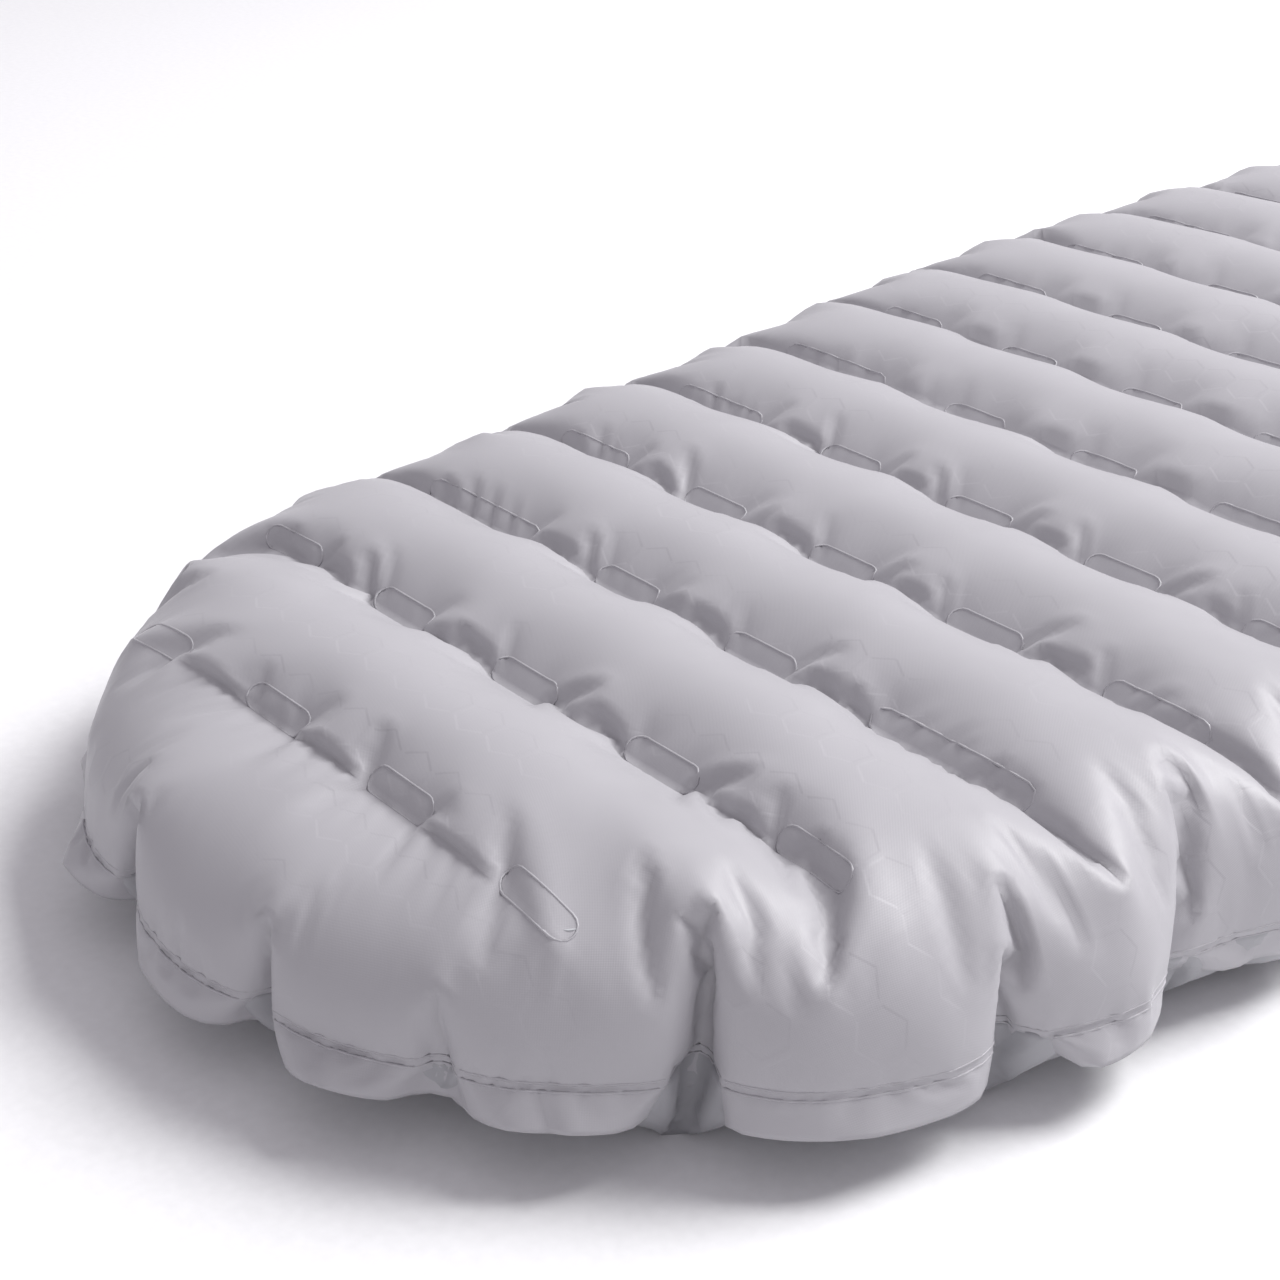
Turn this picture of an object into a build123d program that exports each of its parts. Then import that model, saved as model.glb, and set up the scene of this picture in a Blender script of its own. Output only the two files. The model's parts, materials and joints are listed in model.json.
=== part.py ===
"""Inflatable sleeping pad: two welded fabric shells, cross baffles, and a hinged two-stage air valve.

Millimetres. +Y runs from the foot end to the head end, +X across, +Z up from the ground.
The origin is on the ground, under the middle of the pad.
"""

import os
from math import asin, cos, sin, sqrt

from build123d import *

# ---------------------------------------------------------------- driving dimensions: pad
tube_pitch = 68.0  # from one valley between tubes to the next
tube_count = 27
half_length = 914.0  # middle of the pad to the rim at either end
foot_half_width = 200.0  # half-width at the rim, where the rounded foot end begins
shoulder_half_width = 255.0
foot_end_depth = 200.0  # the foot end is half an ellipse this deep
head_end_depth = 190.0
shoulder_y = -268.0  # the taper from the foot reaches full width here

crown_height = 85.0  # top of an inflated tube above the ground
valley_height = 69.0  # top face at a valley
underside_valley_height = 14.0  # underside at a valley
ground_flat = 14.0  # width of the strip on which each tube stands

wall = 1.0  # the fabric's layer, stood in by a wall thick enough to handle
rim_width = 9.0  # welded flange outside the air space
rim_height = 28.0  # weld line between the two shells
rim_layer = 1.0
side_round = 32.0  # how the sides roll over from the top face
underside_round = 24.0

# ---------------------------------------------------------------- driving dimensions: baffles
web = 0.8
edge_gap = 52.0  # from the rim to the end of a baffle, where air passes round it
tab_pitch = 66.0
tab_length = 30.0
tab_width = 9.0
tab_layer = 0.6
tab_neck = 3.0  # the web's edge is cut back this far between tabs
foot_tab_counts = [4, 5, 4, 5, 5]  # weld tabs on the baffles nearest the foot

# ---------------------------------------------------------------- driving dimensions: valve
valve_x = 120.0
valve_tube = 26  # counted from the foot
valve_seat_height = 79.0  # flat set into the tube's crown
valve_seat_radius = 22.0
flange_radius = 20.0
flange_layer = 1.2
collar_radius = 15.0
collar_bore = 13.0
collar_rise = 6.0  # collar's top above the seat
bracket_drop = 4.5  # how far down the collar the plug hinge's bracket reaches
gap = 0.3  # between pieces that move past each other

port_radius = 9.5  # the port that a pump or a mouthpiece is put in
port_depth = 3.8
port_relief = 0.6  # below the port the plug is hollowed this much wider, round the button
lip_radius = 11.0
lip_rise = 2.0
plate = 1.5  # thickness of the plug's flange and of the cap
skirt_radius = 12.6
skirt_tip_radius = 11.8
skirt_depth = 5.5
skirt_taper = 3.5  # the plug's tip narrows over this height, to find its way into the collar
groove_radius = 12.0  # seal groove round the plug
groove_drop = 1.4  # bottom of the groove below the collar's top
seal_radius = 12.9
seal_height = 1.2
pull_length = 9.0  # finger tabs on the plug and on the cap
plug_pull_width = 8.0
cap_pull_width = 6.0
grille_radius = 8.0
hub_radius = 2.4
spoke_count = 4
spoke_width = 1.8
stem_radius = 1.0
stem_bore = 1.1
button_radius = 2.6
button_layer = 1.2
button_round = 0.4
button_travel = 2.2
button_clear = 0.2  # left under the button when it is pressed home
flap_radius = 9.3
flap_layer = 0.8
cap_radius = 13.0
cap_seal_play = 0.05

plug_hinge_offset = 19.0  # hinge axes from the valve's axis
cap_hinge_offset = 16.5
plug_knuckle = 1.8
cap_knuckle = 1.5
plug_pin_radius = 0.8
cap_pin_radius = 0.7
pin_play = 0.1
plug_arm = 3.0  # half-widths of each hinge's knuckle, and of the ears on either side of it
plug_ear_inner = 3.3
plug_ear_outer = 6.0
cap_arm = 2.5
cap_ear_inner = 2.8
cap_ear_outer = 5.0

# ---------------------------------------------------------------- derived places
half_pitch = tube_pitch / 2
valleys = [(k - tube_count / 2) * tube_pitch for k in range(1, tube_count)]
middles = [(k + 0.5 - tube_count / 2) * tube_pitch for k in range(tube_count)]
foot_y = foot_end_depth - half_length
head_y = half_length - head_end_depth
beyond = half_length + tube_pitch

crown_rise = crown_height - valley_height
crown_radius = (half_pitch**2 + crown_rise**2) / (2 * crown_rise)
crown_centre = crown_height - crown_radius
haunch = half_pitch - ground_flat / 2
haunch_radius = (haunch**2 + underside_valley_height**2) / (2 * underside_valley_height)

valve_y = middles[valve_tube - 1]
valve = Plane((valve_x, valve_y, 0))
valve_side = Plane(origin=(valve_x, valve_y, 0), x_dir=(0, 1, 0), z_dir=(1, 0, 0))
flange_low = valve_seat_height - wall - flange_layer
collar_top = valve_seat_height + collar_rise
plug_low = collar_top + gap
plug_top = plug_low + plate
lip_top = plug_top + lip_rise
skirt_low = collar_top - skirt_depth
bowl_radius = port_radius + port_relief
groove_low = collar_top - groove_drop
cap_low = lip_top + gap
cap_top = cap_low + plate
cap_skirt_low = plug_top + gap
plug_hinge = (plug_hinge_offset, collar_top)
cap_hinge = (-cap_hinge_offset, plug_top + gap + cap_knuckle)


def save(part, name):
    """Label a finished piece and write it under its node's name."""
    part.label = name
    export_step(part, f"parts/{name}.step")


def rim_half_width(y):
    """Half-width of the pad at the rim, y along its length."""
    if y < foot_y:
        return foot_half_width * sqrt(1 - ((foot_y - y) / foot_end_depth) ** 2)
    if y > head_y:
        return shoulder_half_width * sqrt(1 - ((y - head_y) / head_end_depth) ** 2)
    taper = min(1.0, (y - foot_y) / (shoulder_y - foot_y))
    return foot_half_width + (shoulder_half_width - foot_half_width) * taper


def outline(inset):
    """Plan of the pad as a face: two half ellipses joined by sides that widen to the shoulders."""
    foot = foot_half_width - inset
    shoulder = shoulder_half_width - inset
    with BuildSketch() as plan:
        with BuildLine():
            EllipticalCenterArc(
                (0, foot_y), foot, foot_end_depth - inset, start_angle=180, arc_size=180
            )
            EllipticalCenterArc(
                (0, head_y), shoulder, head_end_depth - inset, start_angle=0, arc_size=180
            )
            for side in (-1, 1):
                Spline(
                    (side * foot, foot_y), (side * shoulder, shoulder_y), tangents=[(0, 1), (0, 1)]
                )
                Line((side * shoulder, shoulder_y), (side * shoulder, head_y))
        make_face()
    return plan.sketch


def haunch_arc(valley, side, low):
    """Arc under one side of a valley, from the valley's foot to the strip on the ground."""
    centre = valley + side * haunch
    radius = haunch_radius - low
    height = haunch_radius - sqrt(radius**2 - haunch**2)
    half_turn = asin(haunch / radius) / 2
    middle = (centre - side * radius * sin(half_turn), haunch_radius - radius * cos(half_turn))
    ThreePointArc((valley, height), middle, (centre, low))


def lengthwise_section(inset):
    """Section along the pad (Y, Z): an arc over each tube and a flat strip under it."""
    low, high = inset, crown_height - inset
    radius = crown_radius - inset
    valley_top = crown_centre + sqrt(radius**2 - half_pitch**2)
    lean = asin(half_pitch / radius) / 2
    with BuildSketch() as section:
        with BuildLine():
            for middle in middles[1:-1]:
                ThreePointArc(
                    (middle - half_pitch, valley_top),
                    (middle, high),
                    (middle + half_pitch, valley_top),
                )
            for valley in valleys:
                haunch_arc(valley, -1, low)
                haunch_arc(valley, 1, low)
            for middle in middles[1:-1]:
                Line((middle - ground_flat / 2, low), (middle + ground_flat / 2, low))
            for side in (-1, 1):
                end = side * middles[-1]
                bulge = (end - side * radius * sin(lean), crown_centre + radius * cos(lean))
                ThreePointArc((side * valleys[-1], valley_top), bulge, (end, high))
                Polyline(
                    (end, high),
                    (side * beyond, high),
                    (side * beyond, low),
                    (side * (valleys[-1] + haunch), low),
                )
        make_face()
    return section.sketch


def air_space(inset):
    """Inflated form: the plan with its edges rolled over, cut to the lengthwise section."""
    with BuildPart() as form:
        with BuildSketch(Plane.XY.offset(inset)):
            add(outline(rim_width + inset))
        extrude(amount=crown_height - 2 * inset)
        fillet(form.faces().sort_by(Axis.Z)[-1].edges(), side_round - inset)
        fillet(form.faces().sort_by(Axis.Z)[0].edges(), underside_round - inset)
        with BuildSketch(Plane.YZ):
            add(lengthwise_section(inset))
        extrude(amount=shoulder_half_width, both=True, mode=Mode.INTERSECT)
        with BuildSketch(valve.offset(valve_seat_height - inset)):
            Circle(valve_seat_radius + inset)
        extrude(amount=crown_height, mode=Mode.SUBTRACT)
    return form.part


def make_shells():
    """Top and bottom fabric skins, each with its half of the welded rim."""
    outside = air_space(0)
    inside = air_space(wall)

    with BuildPart() as top_shell:
        add(outside)
        add(inside, mode=Mode.SUBTRACT)
        split(bisect_by=Plane.XY.offset(rim_height), keep=Keep.TOP)
        with BuildSketch(Plane.XY.offset(rim_height)):
            add(outline(0))
            add(outline(rim_width + wall / 2), mode=Mode.SUBTRACT)
        extrude(amount=rim_layer)
        with BuildSketch(valve.offset(flange_low)):
            Circle(collar_radius)
        extrude(amount=crown_height, mode=Mode.SUBTRACT)
    save(top_shell.part, "top_shell")

    with BuildPart() as bottom_shell:
        add(outside)
        add(inside, mode=Mode.SUBTRACT)
        split(bisect_by=Plane.XY.offset(rim_height), keep=Keep.BOTTOM)
        with BuildSketch(Plane.XY.offset(rim_height - rim_layer)):
            add(outline(0))
            add(outline(rim_width + wall / 2), mode=Mode.SUBTRACT)
        extrude(amount=rim_layer)
    save(bottom_shell.part, "bottom_shell")


def tab_row(count, reach):
    """(middle, length) of each weld tab in a row: even spacing, with the end tabs run out to reach."""
    row = []
    for index in range(count):
        middle = (index - (count - 1) / 2) * tab_pitch
        start, end = middle - tab_length / 2, middle + tab_length / 2
        if index == 0:
            start = min(start, -reach)
        if index == count - 1:
            end = max(end, reach)
        row.append(((start + end) / 2, end - start))
    return row


def make_baffle(number, valley):
    """One cross baffle: an upright web whose tabs fold over and weld to both skins."""
    top = crown_centre + sqrt((crown_radius - wall) ** 2 - half_pitch**2)
    low = haunch_radius - sqrt((haunch_radius - wall) ** 2 - haunch**2)
    reach = rim_half_width(valley) - edge_gap
    natural = int((2 * reach - tab_length) / tab_pitch + 1)
    count = foot_tab_counts[number - 1] if number <= len(foot_tab_counts) else natural
    row = tab_row(count, reach)
    upright = Plane.XZ.offset(-valley)

    with BuildPart() as baffle:
        with BuildSketch(upright):
            with Locations((0, (top + low) / 2)):
                Rectangle(2 * reach, top - low - 2 * tab_neck)
            for middle, length in row:
                with Locations((middle, (top + low) / 2)):
                    Rectangle(length - tab_width, top - low)
        extrude(amount=web / 2, both=True)
        for height, side in ((top - tab_layer, 1), (low, -1)):
            with BuildSketch(Plane.XY.offset(height)):
                for middle, length in row:
                    with Locations((middle, valley + side * (tab_width / 2 - web / 2))):
                        SlotOverall(length, tab_width)
            extrude(amount=tab_layer)
    save(baffle.part, f"baffle_{number:02d}")


def ear(points, axis, knuckle, inner, outer, bore):
    """A pair of hinge ears, or one knuckle if inner is 0, with the pin's bore through them."""
    for side in (-1, 1):
        with BuildSketch(valve_side.offset(side * inner)) as profile:
            Polygon(*points, align=None)
            with Locations(axis):
                Circle(knuckle)
                Circle(bore, mode=Mode.SUBTRACT)
        extrude(profile.sketch, amount=side * (outer - inner))


def make_valve_base():
    """Flange welded inside the top skin, its collar, and the ears that carry the plug."""
    foot = collar_top - bracket_drop
    with BuildPart() as valve_base:
        with BuildSketch(valve.offset(flange_low)):
            Circle(flange_radius)
        extrude(amount=flange_layer)
        with BuildSketch(valve.offset(flange_low)):
            Circle(collar_radius)
        extrude(amount=collar_top - flange_low)
        axis_y, axis_z = plug_hinge
        bracket = [
            (collar_bore + gap, foot),
            (axis_y - plug_knuckle, foot),
            (axis_y + plug_knuckle, axis_z),
            (axis_y - plug_knuckle, axis_z),
            (collar_bore + gap, axis_z - plate),
        ]
        ear(
            bracket, plug_hinge, plug_knuckle, plug_ear_inner, plug_ear_outer, plug_pin_radius
        )
        with BuildSketch(valve.offset(flange_low)):
            Circle(collar_bore)
        extrude(amount=crown_height, mode=Mode.SUBTRACT)
    save(valve_base.part, "valve_base")


def make_plug():
    """Dump plug: fills the collar, and holds the port and the cap's ears. Its seal and grille too."""
    with BuildPart() as dump_plug:
        with BuildSketch(valve_side):
            with BuildLine():
                Polyline(
                    (bowl_radius, skirt_low),
                    (skirt_tip_radius, skirt_low),
                    (skirt_radius, skirt_low + skirt_taper),
                    (skirt_radius, plug_low),
                    (collar_radius, plug_low),
                    (collar_radius, plug_top),
                    (lip_radius, plug_top),
                    (lip_radius, lip_top),
                    (port_radius, lip_top),
                    (port_radius, lip_top - port_depth),
                    (bowl_radius, lip_top - port_depth),
                    close=True,
                )
            make_face()
        revolve(axis=Axis((valve_x, valve_y, 0), (0, 0, 1)))
        cap_y, cap_z = cap_hinge
        plug_y = plug_hinge[0]
        shelf = cap_y - cap_knuckle
        with BuildSketch(valve.offset(plug_low)):
            with Locations((0, (shelf - lip_radius) / 2)):
                Rectangle(2 * cap_ear_outer, -shelf - lip_radius)
            with Locations((-collar_radius, 0)):
                SlotOverall(pull_length, plug_pull_width)
        extrude(amount=plate)
        post = [
            (cap_y - cap_knuckle, plug_low),
            (cap_y + cap_knuckle, plug_low),
            (cap_y + cap_knuckle, cap_z),
            (cap_y - cap_knuckle, cap_z),
        ]
        ear(post, cap_hinge, cap_knuckle, cap_ear_inner, cap_ear_outer, cap_pin_radius)
        arm = [
            (lip_radius, plug_low),
            (plug_y, plug_low),
            (plug_y, plug_top),
            (lip_radius, plug_top),
        ]
        ear(arm, plug_hinge, plug_knuckle, 0, plug_arm, plug_pin_radius + pin_play)
        with BuildSketch(valve_side):
            with Locations(plug_hinge):
                Circle(plug_pin_radius + pin_play)
        extrude(amount=plug_ear_inner, both=True, mode=Mode.SUBTRACT)
        with BuildSketch(valve.offset(groove_low)):
            Circle(collar_radius)
            Circle(groove_radius, mode=Mode.SUBTRACT)
        extrude(amount=seal_height, mode=Mode.SUBTRACT)
    save(dump_plug.part, "dump_plug")

    with BuildPart() as dump_seal:
        with BuildSketch(valve.offset(groove_low)):
            Circle(seal_radius)
            Circle(groove_radius, mode=Mode.SUBTRACT)
        extrude(amount=seal_height)
    save(dump_seal.part, "dump_seal")

    with BuildPart() as plug_grille:
        with BuildSketch(valve.offset(skirt_low)):
            Circle(bowl_radius)
            Circle(grille_radius, mode=Mode.SUBTRACT)
            Circle(hub_radius)
            with PolarLocations(grille_radius / 2, spoke_count):
                Rectangle(grille_radius + spoke_width, spoke_width)
            Circle(stem_bore, mode=Mode.SUBTRACT)
        extrude(amount=plate)
    save(plug_grille.part, "plug_grille")


def make_release_valve():
    """One-way flap under the grille, on a stem whose button lets air out when it is pressed."""
    button_low = skirt_low + plate + button_travel + button_clear
    flap_top = skirt_low - pin_play
    with BuildPart() as check_valve:
        with BuildSketch(valve.offset(flap_top - flap_layer)):
            Circle(flap_radius)
        extrude(amount=flap_layer)
        with BuildSketch(valve.offset(flap_top)):
            Circle(stem_radius)
        extrude(amount=button_low - flap_top)
        with BuildSketch(valve.offset(button_low)):
            Circle(button_radius)
        extrude(amount=button_layer)
        fillet(check_valve.faces().sort_by(Axis.Z)[-1].edges(), button_round)
    save(check_valve.part, "check_valve")


def make_cap():
    """Inflation cap: a lid whose skirt closes over the port's lip, on its own hinge."""
    cap_y, cap_z = cap_hinge
    with BuildPart() as inflate_cap:
        with BuildSketch(valve.offset(cap_skirt_low)):
            Circle(cap_radius)
            Circle(lip_radius + gap, mode=Mode.SUBTRACT)
        extrude(amount=cap_low - cap_skirt_low)
        with BuildSketch(valve.offset(cap_low)):
            Circle(cap_radius)
            with Locations((0, cap_radius)):
                SlotOverall(pull_length, cap_pull_width)
        extrude(amount=plate)
        arm = [
            (cap_y, cap_low),
            (cap_y, cap_z + cap_knuckle),
            (cap_y + 2 * cap_knuckle, cap_top),
            (-lip_radius, cap_top),
            (-lip_radius, cap_low),
        ]
        ear(arm, cap_hinge, cap_knuckle, 0, cap_arm, cap_pin_radius + pin_play)
        with BuildSketch(valve_side):
            with Locations(cap_hinge):
                Circle(cap_pin_radius + pin_play)
        extrude(amount=cap_ear_inner, both=True, mode=Mode.SUBTRACT)
    save(inflate_cap.part, "inflate_cap")

    with BuildPart() as cap_seal:
        with BuildSketch(valve.offset(lip_top + cap_seal_play)):
            Circle(lip_radius)
            Circle(bowl_radius, mode=Mode.SUBTRACT)
        extrude(amount=cap_low - lip_top - cap_seal_play)
    save(cap_seal.part, "cap_seal")


def make_pin(name, axis, radius, reach):
    """A hinge pin across the valve, as long as its ears are wide."""
    with BuildPart() as pin:
        with BuildSketch(valve_side):
            with Locations(axis):
                Circle(radius)
        extrude(amount=reach, both=True)
    save(pin.part, name)


os.makedirs("parts", exist_ok=True)
make_shells()
for number, valley in enumerate(valleys, start=1):
    make_baffle(number, valley)
make_valve_base()
make_plug()
make_release_valve()
make_cap()
make_pin("plug_hinge_pin", plug_hinge, plug_pin_radius, plug_ear_outer)
make_pin("cap_hinge_pin", cap_hinge, cap_pin_radius, cap_ear_outer)
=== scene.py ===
"""Looks of the inflatable sleeping pad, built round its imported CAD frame.

The pad's envelope is a cloth simulation: two flat-cut sheets joined at the rim, tied together by the
baffles' weld tabs, and blown up until the fabric is tight. Lengths in the simulation are millimetres.
"""

import json
import math

import bpy
import numpy as np
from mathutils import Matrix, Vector
from mathutils.bvhtree import BVHTree
from mathutils.geometry import delaunay_2d_cdt


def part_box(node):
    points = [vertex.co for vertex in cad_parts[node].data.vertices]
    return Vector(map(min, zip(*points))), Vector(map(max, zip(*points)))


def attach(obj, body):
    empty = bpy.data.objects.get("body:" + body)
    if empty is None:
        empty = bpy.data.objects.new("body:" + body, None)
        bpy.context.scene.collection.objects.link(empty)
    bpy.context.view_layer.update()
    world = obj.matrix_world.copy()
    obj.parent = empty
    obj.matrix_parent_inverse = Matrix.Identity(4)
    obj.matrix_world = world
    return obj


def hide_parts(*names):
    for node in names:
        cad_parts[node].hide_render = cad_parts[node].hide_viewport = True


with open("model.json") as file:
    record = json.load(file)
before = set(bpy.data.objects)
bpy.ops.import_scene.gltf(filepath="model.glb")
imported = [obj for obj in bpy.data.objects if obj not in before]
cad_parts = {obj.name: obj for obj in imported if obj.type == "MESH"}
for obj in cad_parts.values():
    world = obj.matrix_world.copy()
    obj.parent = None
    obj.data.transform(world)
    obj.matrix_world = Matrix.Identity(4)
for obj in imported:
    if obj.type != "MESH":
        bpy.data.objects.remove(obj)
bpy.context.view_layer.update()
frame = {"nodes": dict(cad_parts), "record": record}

MM = 0.001
SEED = 7

# ---------------------------------------------------------------- the frame's own dimensions, in mm
BAFFLES = sorted(name for name in frame["nodes"] if name.startswith("baffle_"))


def box_mm(node):
    """Lowest and highest corners of a CAD node, in millimetres."""
    low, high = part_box(node)
    return np.array(low) / MM, np.array(high) / MM


baffle_boxes = [box_mm(name) for name in BAFFLES]
VALLEYS = [(low[1] + high[1]) / 2 for low, high in baffle_boxes]
REACHES = [(high[0] - low[0]) / 2 for low, high in baffle_boxes]
PITCH = VALLEYS[1] - VALLEYS[0]
WALL = 1.0
VALLEY_TOP = baffle_boxes[0][1][2] + WALL
VALLEY_LOW = baffle_boxes[0][0][2] - WALL
TIE = VALLEY_TOP - VALLEY_LOW
MID_HEIGHT = (VALLEY_TOP + VALLEY_LOW) / 2
HALF_LENGTH = box_mm("top_shell")[1][1]
SHOULDER = box_mm("top_shell")[1][0]
FOOT = 200.0
FOOT_DEPTH, HEAD_DEPTH = 200.0, 190.0
SHOULDER_Y = -268.0
valve_low, valve_high = box_mm("valve_base")
VALVE = np.array([(valve_low[0] + valve_high[0]) / 2, (VALLEYS[-1] + VALLEYS[-2]) / 2])
FINEST = VALLEYS[5]  # the mesh is finest from the foot end to this valley
VALVE_REACH = 50.0  # and this far round the valve

# ---------------------------------------------------------------- the flat cut
TUBE_LEAN = math.atan(PITCH / TIE)  # a tube's arc leaves its valley at this angle
TUBE_RADIUS = TIE / 2 / math.cos(TUBE_LEAN)
CUT_PITCH = 2 * TUBE_RADIUS * TUBE_LEAN  # valley to valley along the fabric
STRETCH = CUT_PITCH / PITCH
EDGE_DEPTH = 45.0  # how far the side bulge stands out from the tabs
TOP_MARGIN = 72.0  # fabric from the tabs to the weld, over the top
LOW_MARGIN = 56.0  # and from the underside
FLANGE = 12.0
WEB_SLACK = 5.0  # how much further apart the sheets may stand between tabs
RIM_DEPTH = 52.0  # tabs to the rim's outer edge, blown up
GROWTH = TOP_MARGIN + FLANGE - RIM_DEPTH
END_EASE = 4.0  # the two ends bulge further than the sides, so they are cut shorter
END_SAMPLES, TAPER_SAMPLES = 400, 200
DISTANCE_SAMPLES = 900  # points along the weld when a corner's distance to it is measured
BLOCK = 2000  # corners measured at a time, to save memory
ROWS = 8  # rows of mesh corners from valley to valley, before any are split
RIM_LENGTH = 4700.0  # the weld's length, which sets how many corners lie along it
RIM_CLEARANCE = 0.6  # least gap between the weld and the grid inside it, in grid steps
MERGE = 0.0001


def cut_outline(offset, count):
    """Points round the flat cut's outer edge, moved in by offset: two half ellipses and tapered sides."""
    foot, shoulder = FOOT + GROWTH - offset, SHOULDER + GROWTH - offset
    foot_v = (FOOT_DEPTH - HALF_LENGTH) * STRETCH
    head_v = (HALF_LENGTH - HEAD_DEPTH) * STRETCH
    shoulder_v = SHOULDER_Y * STRETCH
    last = VALLEYS[-1] * STRETCH + HALF_LENGTH - VALLEYS[-1] - END_EASE + GROWTH - offset
    turn = np.linspace(0, math.pi, END_SAMPLES)
    foot_end = np.stack([-foot * np.cos(turn), foot_v - (last + foot_v) * np.sin(turn)], 1)
    head_end = np.stack([shoulder * np.cos(turn), head_v + (last - head_v) * np.sin(turn)], 1)
    rise = np.linspace(0, 1, TAPER_SAMPLES)[1:]
    ease = rise * rise * (3 - 2 * rise)
    taper = np.stack([foot + (shoulder - foot) * ease, foot_v + (shoulder_v - foot_v) * rise], 1)
    left = taper[::-1] * (-1, 1)
    loop = np.concatenate([foot_end, taper, head_end, left])
    loop = np.concatenate([loop, loop[:1]])
    run = np.concatenate([[0], np.cumsum(np.linalg.norm(np.diff(loop, axis=0), axis=1))])
    places = np.linspace(0, run[-1], count, endpoint=False)
    return np.stack([np.interp(places, run, loop[:, axis]) for axis in (0, 1)], 1)


def inside_distance(points, loop):
    """Signed distance to a closed loop, above 0 inside, and the inward direction."""
    after = np.roll(loop, -1, axis=0)
    side = after - loop
    squared = (side**2).sum(1)
    distance = np.empty(len(points))
    inward = np.empty((len(points), 2))
    for start in range(0, len(points), BLOCK):
        block = points[start : start + BLOCK, None]
        along = np.clip(((block - loop) * side).sum(2) / squared, 0, 1)
        away = block - (loop + along[..., None] * side)
        gap = np.sqrt((away**2).sum(2))
        near = gap.argmin(1)
        rows = np.arange(len(near))
        normal = np.stack([-side[near, 1], side[near, 0]], 1)
        normal /= np.linalg.norm(normal, axis=1)[:, None]
        sign = np.sign((away[rows, near] * normal).sum(1) + 1e-12)
        distance[start : start + BLOCK] = gap[rows, near] * sign
        inward[start : start + BLOCK] = normal
    return distance, inward


def flat_mesh():
    """Triangles over the flat cut, with a row of corners on every valley and along the weld."""
    step_v = CUT_PITCH / ROWS
    step_u = step_v / math.sin(math.radians(60))
    around = int(RIM_LENGTH / step_u)
    weld = cut_outline(FLANGE, around)
    reach_u, reach_v = SHOULDER + GROWTH, VALLEYS[-1] * STRETCH + PITCH + GROWTH
    lines = np.arange(-int(reach_v / step_v) - 1, int(reach_v / step_v) + 2)
    across = np.arange(-int(reach_u / step_u) - 1, int(reach_u / step_u) + 2)
    grid = [(i * step_u + (j % 2) * step_u / 2, j * step_v) for j in lines for i in across]
    grid = np.array(grid)
    distance, _ = inside_distance(grid, weld)
    grid = grid[distance > RIM_CLEARANCE * step_u]
    strips = [cut_outline(FLANGE * part, around) for part in (0.5, 0.0)]
    flat = np.concatenate([weld, *strips, grid])
    loops = [[ring * around + i for i in range(around)] for ring in range(3)]
    edges = [(ring[i], ring[(i + 1) % around]) for ring in loops for i in range(around)]
    found = delaunay_2d_cdt([Vector(p) for p in flat], edges, [loops[2]], 1, MERGE, True)
    source = np.array([ids[0] for ids in found[3]])
    faces = source[np.array(found[2])]
    corner = flat[faces]
    first, second = corner[:, 1] - corner[:, 0], corner[:, 2] - corner[:, 0]
    turned = first[:, 0] * second[:, 1] - first[:, 1] * second[:, 0] < 0
    faces[turned] = faces[turned][:, ::-1]
    kind = np.zeros(len(flat), int)  # 0 inside, 1 on the weld, 2 on the flange, 3 on its outer edge
    kind[:around] = 1
    kind[around : 2 * around] = 2
    kind[2 * around : 3 * around] = 3
    faces = faces[(kind[faces] < 3).any(1)]  # nothing spans the hollow of the tapered sides
    return flat, faces, kind


def edges_of(faces):
    """Each edge once, as sorted pairs."""
    pairs = np.sort(np.concatenate([faces[:, [0, 1]], faces[:, [1, 2]], faces[:, [2, 0]]]), axis=1)
    return np.unique(pairs, axis=0)


def refine(flat, faces, kind, shapes, chosen):
    """Splits the chosen edges and their triangles. shapes are positions carried to the new corners."""
    count = len(flat)
    pairs = edges_of(faces)
    pairs = pairs[chosen((flat[pairs[:, 0]] + flat[pairs[:, 1]]) / 2)]
    keys = pairs[:, 0] * count + pairs[:, 1]

    def middle(a, b):
        wanted = np.minimum(a, b) * count + np.maximum(a, b)
        place = np.minimum(np.searchsorted(keys, wanted), len(keys) - 1)
        return np.where(keys[place] == wanted, count + place, -1)

    a, b, c = faces.T
    whole = np.stack([a, b, c, middle(a, b), middle(b, c), middle(c, a)], 1)
    cuts = (whole[:, 3:] >= 0).sum(1)
    for _ in range(2):
        turn = ((cuts == 1) & (whole[:, 3] < 0)) | ((cuts == 2) & (whole[:, 5] >= 0))
        whole[turn] = whole[turn][:, [1, 2, 0, 4, 5, 3]]
    patterns = {
        0: [(0, 1, 2)],
        1: [(0, 3, 2), (3, 1, 2)],
        2: [(3, 1, 4), (0, 3, 4), (0, 4, 2)],
        3: [(0, 3, 5), (3, 1, 4), (5, 4, 2), (3, 4, 5)],
    }
    parts = [whole[cuts == number][:, corners] for number, rows in patterns.items() for corners in rows]
    first, second = kind[pairs[:, 0]], kind[pairs[:, 1]]
    joined = np.where(np.minimum(first, second) == 0, 0, 2)
    joined[(first == 1) & (second == 1)] = 1
    joined[(first == 3) & (second == 3)] = 3
    grown = [np.concatenate([s, (s[pairs[:, 0]] + s[pairs[:, 1]]) / 2]) for s in shapes]
    flat = np.concatenate([flat, (flat[pairs[:, 0]] + flat[pairs[:, 1]]) / 2])
    return flat, np.concatenate(parts), np.concatenate([kind, joined]), grown


# ---------------------------------------------------------------- the starting shape
PINCH_DEPTH = 12.0
PINCH_WIDTH = 10.0
PINCH_RISE = 0.6  # how far the seeds reach in over the margin, as a share of it
JITTER = 0.15
BULGE_FADE = 1.6  # how quickly a tube's crown dies out over the margin
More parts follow.
